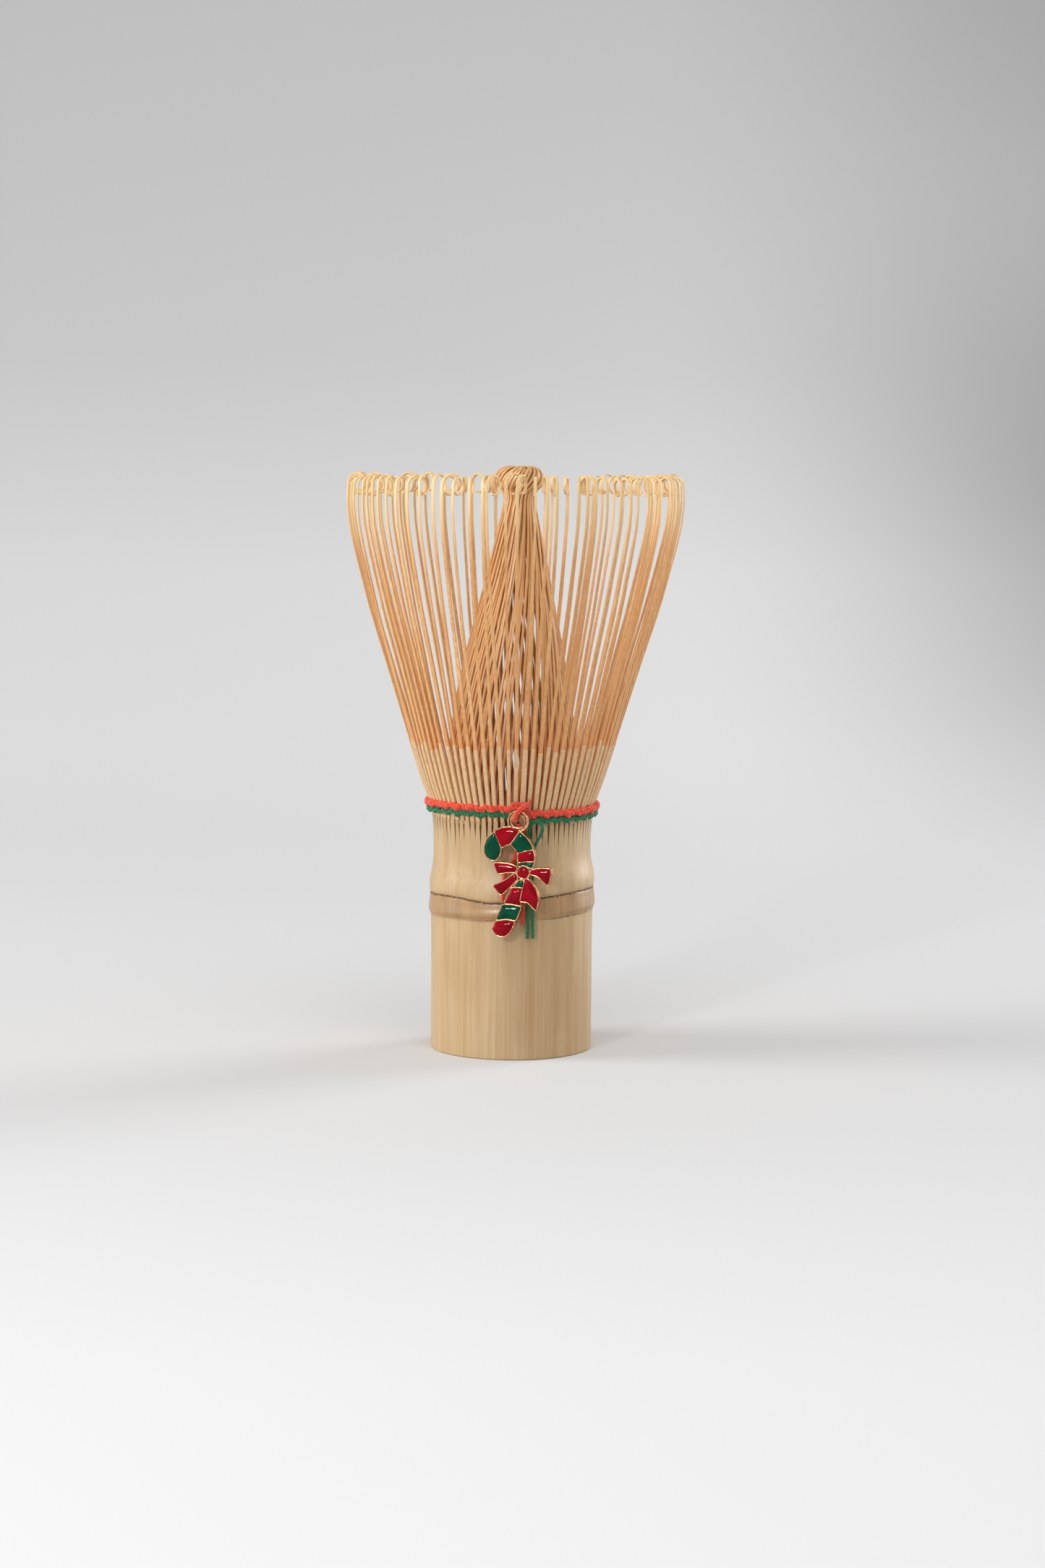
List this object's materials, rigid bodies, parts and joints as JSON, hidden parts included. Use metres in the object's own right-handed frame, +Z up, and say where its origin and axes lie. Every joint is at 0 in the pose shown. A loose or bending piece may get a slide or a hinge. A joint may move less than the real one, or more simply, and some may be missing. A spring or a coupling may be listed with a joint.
{
  "type": "bamboo tea whisk",
  "caption": "Bamboo tea whisk: a cut culm handle with a node ridge, flared outer tines with curled tips round a gathered inner cone, thread bands and a small hanging enamel charm.",
  "frame": {"origin": "centre of the base, on the surface that the whisk stands on", "axes": "+Z up along the handle to the tips, -Y the front where the charm hangs, +X to the right as seen from the front"},
  "size_m": [0.0624, 0.0624, 0.1099],
  "materials": {
    "handle_bamboo": "smooth pale bamboo skin, satin, fine upright grain",
    "tine_bamboo": "shaved bamboo, satin, paler at the tips and the root skin",
    "red_cotton": "twisted cotton thread, matt, fuzzy",
    "green_cotton": "twisted cotton thread, matt, fuzzy",
    "charm_metal": "polished rose-gold plating",
    "green_enamel": "domed glossy enamel",
    "red_enamel": "domed glossy enamel"
  },
  "bodies": {
    "whisk": {"handle": "handle_bamboo", "outer_tines_01": "tine_bamboo", "outer_tines_02": "tine_bamboo", "outer_tines_03": "tine_bamboo", "outer_tines_04": "tine_bamboo", "outer_tines_05": "tine_bamboo", "outer_tines_06": "tine_bamboo", "outer_tines_07": "tine_bamboo", "outer_tines_08": "tine_bamboo", "outer_tines_09": "tine_bamboo", "outer_tines_10": "tine_bamboo", "outer_tines_11": "tine_bamboo", "outer_tines_12": "tine_bamboo", "outer_tines_13": "tine_bamboo", "outer_tines_14": "tine_bamboo", "outer_tines_15": "tine_bamboo", "outer_tines_16": "tine_bamboo", "inner_tines_01": "tine_bamboo", "inner_tines_02": "tine_bamboo", "inner_tines_03": "tine_bamboo", "inner_tines_04": "tine_bamboo", "inner_tines_05": "tine_bamboo", "inner_tines_06": "tine_bamboo", "inner_tines_07": "tine_bamboo", "inner_tines_08": "tine_bamboo", "inner_tines_09": "tine_bamboo", "inner_tines_10": "tine_bamboo", "inner_tines_11": "tine_bamboo", "inner_tines_12": "tine_bamboo", "inner_tines_13": "tine_bamboo", "inner_tines_14": "tine_bamboo", "inner_tines_15": "tine_bamboo", "inner_tines_16": "tine_bamboo", "red_thread_band": "red_cotton", "green_thread_band": "green_cotton", "red_thread_tails": "red_cotton", "green_thread_tails": "green_cotton"},
    "hang_loop": {"red_hang_loop": "red_cotton"},
    "charm": {"charm_casting": "charm_metal", "enamel_hook_end": "green_enamel", "enamel_hook_shoulder": "green_enamel", "enamel_collar": "green_enamel", "enamel_shaft_upper": "green_enamel", "enamel_shaft_lower": "green_enamel", "enamel_hook_top": "red_enamel", "enamel_hook_side": "red_enamel", "enamel_bow_loop_left": "red_enamel", "enamel_bow_loop_right": "red_enamel", "enamel_bow_tail_left": "red_enamel", "enamel_bow_tail_right": "red_enamel", "enamel_bow_knot": "red_enamel", "enamel_shaft_middle": "red_enamel", "enamel_shaft_tip": "red_enamel"}
  },
  "joints": [
    {"name": "charm_lift", "type": "hinge", "parent": "whisk", "child": "hang_loop", "pos_m": [0.0029, -0.01765, 0.0479], "axis": [-1, 0, 0], "range_deg": [0, 110]},
    {"name": "charm_swing", "type": "hinge", "parent": "hang_loop", "child": "charm", "pos_m": [0.00079, -0.01782, 0.0453], "axis": [-0.225, -0.9744, 0], "range_deg": [-35, 60]}
  ]
}
